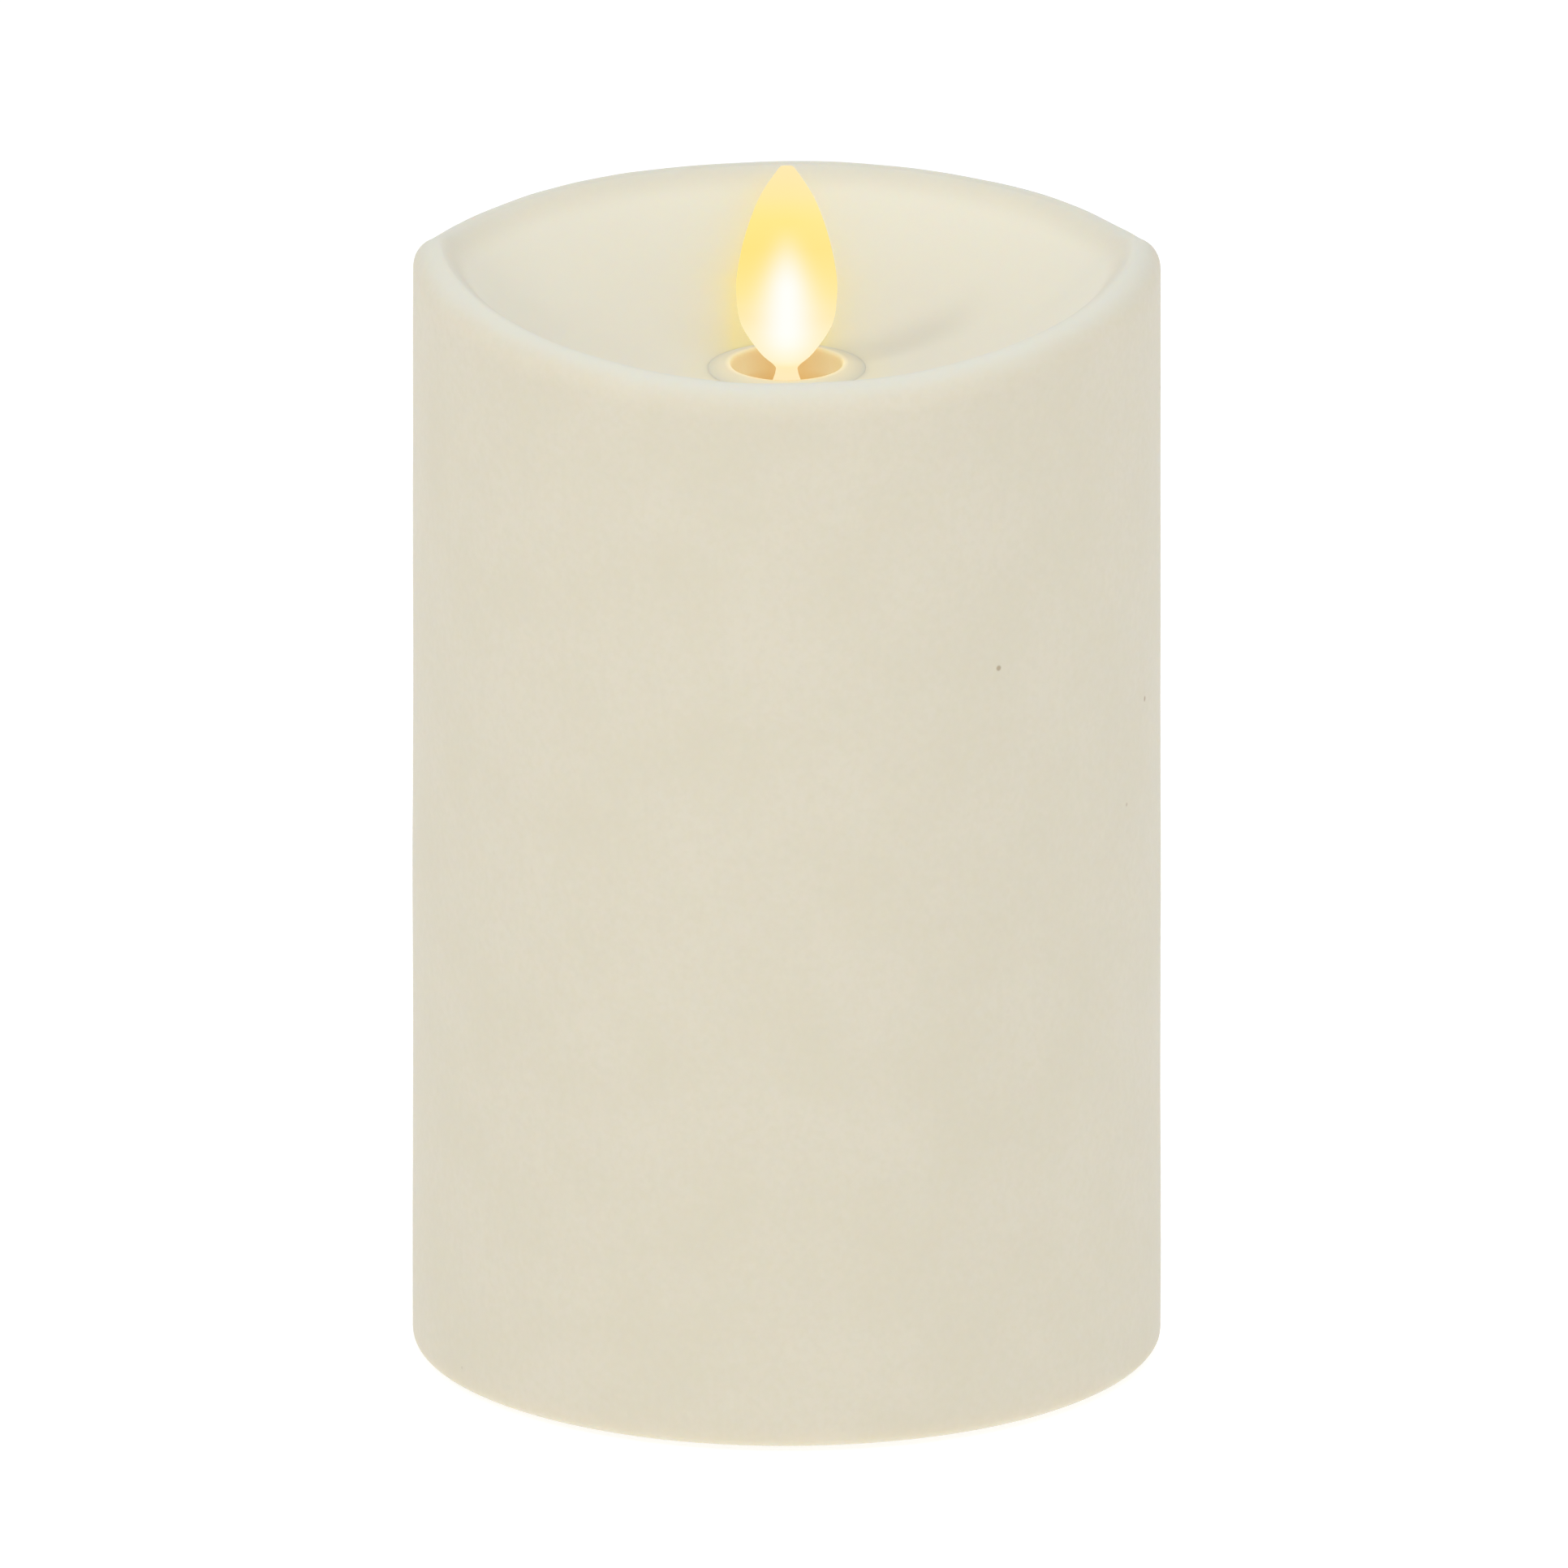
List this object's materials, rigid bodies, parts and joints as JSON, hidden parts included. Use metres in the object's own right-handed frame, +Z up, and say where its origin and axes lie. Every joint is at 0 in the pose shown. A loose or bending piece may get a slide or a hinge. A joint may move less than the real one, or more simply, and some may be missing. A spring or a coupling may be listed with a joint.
{
  "type": "flameless led candle",
  "caption": "Ivory wax pillar candle with a bowl-shaped top, an electric swaying flame on a pendulum, a battery door and a slide switch in the base.",
  "frame": {"origin": "on the floor under the pillar's axis, at the undersides of the rubber feet", "axes": "+Z up along the pillar; the front, where the rim is lowest, faces -Y; the pivot wire lies along Y"},
  "size_m": [0.0826, 0.0826, 0.136],
  "materials": {
    "wax": "satin, paraffin wax",
    "ring_wax": "satin, moulded polypropylene",
    "flame": "translucent, lit",
    "core_plastic": "moulded ABS, natural white",
    "base_plastic": "moulded ABS, ivory",
    "dark_plastic": "moulded ABS, black",
    "rubber": "matt",
    "steel_zinc": "zinc-plated",
    "steel_nickel": "nickel-plated",
    "contact_brass": "tinned brass",
    "copper": "enamelled copper wire",
    "cell_can": "bare can",
    "cell_sleeve": "shrink film",
    "board_green": "solder mask",
    "chip_black": "epoxy moulding",
    "lamp_amber": "clear epoxy, lit",
    "wire_red": "PVC",
    "wire_black": "PVC",
    "wire_white": "PVC",
    "glue": "hot-melt",
    "capacitor_blue": "sleeved can"
  },
  "bodies": {
    "candle": {"wax_shell": "wax", "core_housing": "core_plastic", "flame_collar": "ring_wax", "glue_beads": "glue", "base_plate": "base_plastic", "rubber_feet": "rubber", "base_screws": "steel_zinc", "box_screws": "steel_zinc", "battery_box": "core_plastic", "battery_left": "cell_can", "battery_right": "cell_can", "battery_sleeves": "cell_sleeve", "contact_positive": "contact_brass", "contact_negative": "contact_brass", "contact_spring": "steel_nickel", "door_hinge_pin": "steel_nickel", "switch_body": "steel_nickel", "switch_terminals": "contact_brass", "pivot_wire": "steel_nickel", "engine_half_left": "core_plastic", "engine_half_right": "core_plastic", "engine_screws": "steel_zinc", "mount_screws": "steel_zinc", "coil_bobbin": "dark_plastic", "coil_winding": "copper", "lamp_front": "lamp_amber", "lamp_rear": "lamp_amber", "lamp_leads": "steel_nickel", "control_board": "board_green", "board_screws": "steel_zinc", "board_chip": "chip_black", "board_capacitors": "capacitor_blue", "board_resistors": "chip_black", "board_transistors": "chip_black", "board_crystal": "steel_nickel", "wires_lamp_front": "wire_red", "wires_lamp_rear": "wire_red", "wires_coil": "copper", "wire_power_red": "wire_red", "wire_power_black": "wire_black", "wires_switch": "wire_white"},
    "flame_pendulum": {"flame_paddle": "flame", "pendulum_magnet": "steel_nickel"},
    "switch_slider": {"switch_lever": "dark_plastic", "switch_knob": "dark_plastic"},
    "door": {"battery_door": "base_plastic", "door_bridge": "contact_brass", "door_spring": "steel_nickel"}
  },
  "joints": [
    {"name": "flame_swing", "type": "hinge", "parent": "candle", "child": "flame_pendulum", "pos_m": [0, 0, 0.0995], "axis": [0, 1, 0], "range_deg": [-12, 12]},
    {"name": "switch_slide", "type": "slide", "parent": "candle", "child": "switch_slider", "axis": [1, 0, 0], "range_m": [0, 0.004]},
    {"name": "battery_door_hinge", "type": "hinge", "parent": "candle", "child": "door", "pos_m": [0, -0.018, 0.0025], "axis": [-1, 0, 0], "range_deg": [0, 90]}
  ]
}
